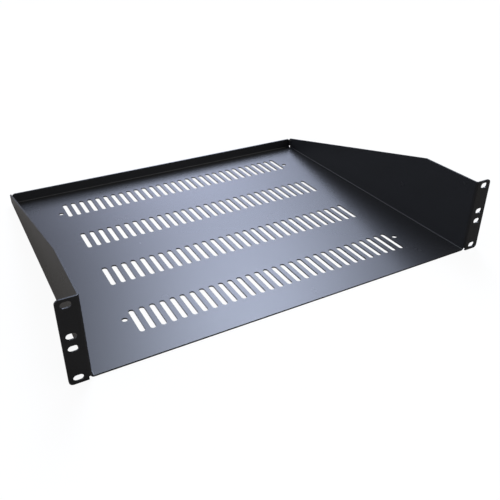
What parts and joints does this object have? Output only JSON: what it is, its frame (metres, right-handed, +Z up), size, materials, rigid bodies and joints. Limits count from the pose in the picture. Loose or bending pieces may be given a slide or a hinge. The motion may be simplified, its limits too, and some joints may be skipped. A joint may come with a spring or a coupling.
{
  "type": "vented rack shelf",
  "caption": "Folded sheet-metal rack shelf with a slotted vented floor, sloping side walls, a low rear lip and slotted mounting ears for an equipment rack.",
  "frame": {"origin": "on the underside of the floor, midway across and midway between the front of the ears and the back of the lip", "axes": "+X to the right as seen from the front, +Y to the rear, +Z up"},
  "size_m": [0.4826, 0.381, 0.0881],
  "materials": {
    "powder_coat": "satin black powder coat"
  },
  "bodies": {
    "root": {"vented_shelf": "powder_coat"}
  },
  "joints": []
}
